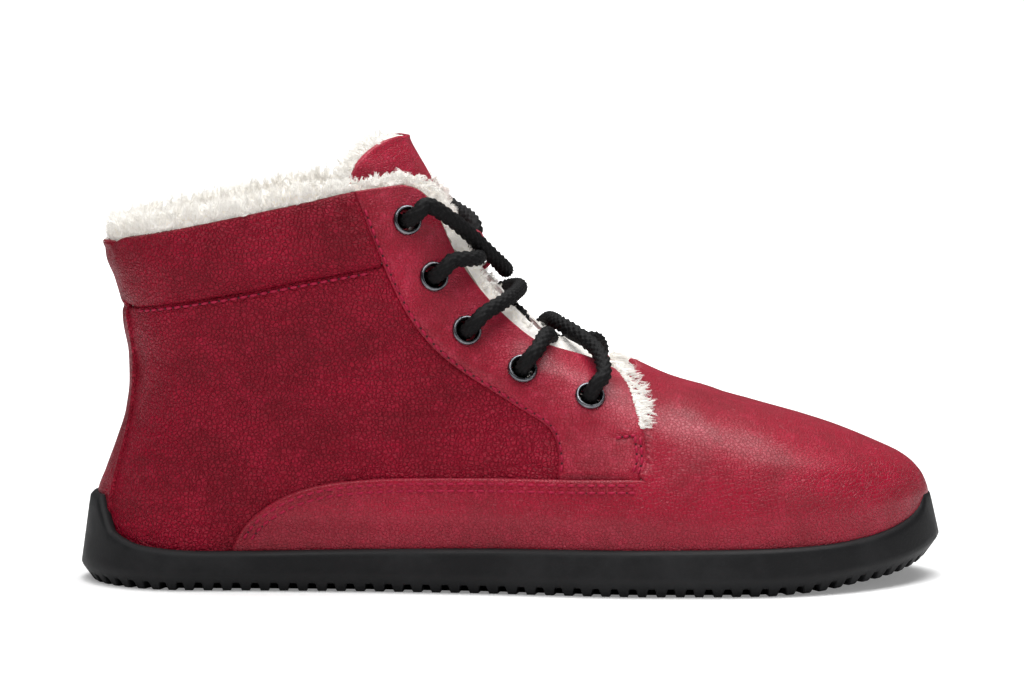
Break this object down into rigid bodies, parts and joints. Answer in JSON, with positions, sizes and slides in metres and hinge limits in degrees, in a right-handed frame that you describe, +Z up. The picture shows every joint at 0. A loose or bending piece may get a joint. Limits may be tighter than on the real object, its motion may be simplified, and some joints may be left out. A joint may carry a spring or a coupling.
{
  "type": "fleece-lined ankle boot",
  "caption": "Lace-up leather ankle boot lined with fleece, with a thin flexible rubber sole, a padded collar and a tongue that folds forward",
  "frame": {"origin": "under the middle of the sole's length and width, on the plane that the tread stands on", "axes": "+X to the toe, +Y to the inner (medial) side of this right boot, +Z up"},
  "size_m": [0.268, 0.1008, 0.1384],
  "materials": {
    "crimson_leather": "semi-gloss grained leather",
    "crimson_leather_dark": "semi-gloss grained leather, burnished darker",
    "pile": "deep wool pile",
    "rubber_sole": "matte charcoal rubber",
    "eyelet_metal": "gunmetal plating, worn bright inside",
    "black_lace": "round braided cord",
    "lace_tip": "moulded tip",
    "board": "pressed fibre board",
    "foam": "closed-cell foam"
  },
  "bodies": {
    "boot": {"outsole": "rubber_sole", "insole_board": "board", "insole_foam": "foam", "insole_pile": "pile", "vamp": "crimson_leather", "quarter_lateral": "crimson_leather_dark", "eyestay_lateral": "crimson_leather", "collar_lateral": "crimson_leather_dark", "collar_foam_lateral": "foam", "facing_reinforcement_lateral": "board", "quarter_lining_lateral": "pile", "eyelet_lateral_1": "eyelet_metal", "eyelet_lateral_2": "eyelet_metal", "eyelet_lateral_3": "eyelet_metal", "eyelet_lateral_4": "eyelet_metal", "eyelet_lateral_5": "eyelet_metal", "quarter_medial": "crimson_leather_dark", "eyestay_medial": "crimson_leather", "collar_medial": "crimson_leather_dark", "collar_foam_medial": "foam", "facing_reinforcement_medial": "board", "quarter_lining_medial": "pile", "eyelet_medial_1": "eyelet_metal", "eyelet_medial_2": "eyelet_metal", "eyelet_medial_3": "eyelet_metal", "eyelet_medial_4": "eyelet_metal", "eyelet_medial_5": "eyelet_metal", "back_strip": "crimson_leather_dark", "heel_counter": "board", "toe_puff": "board", "vamp_lining": "pile", "tongue": "crimson_leather", "tongue_lining": "pile", "tongue_lace_loop": "crimson_leather", "lace": "black_lace", "lace_tail_lateral": "black_lace", "aglet_lateral": "lace_tip", "lace_tail_medial": "black_lace", "aglet_medial": "lace_tip"},
    "tongue_top": {"tongue_tip": "crimson_leather", "tongue_tip_lining": "pile"}
  },
  "joints": [
    {"name": "tongue_fold", "type": "hinge", "parent": "boot", "child": "tongue_top", "pos_m": [-0.02056, 0, 0.11633], "axis": [0, 1, 0], "range_deg": [-5, 90]}
  ]
}
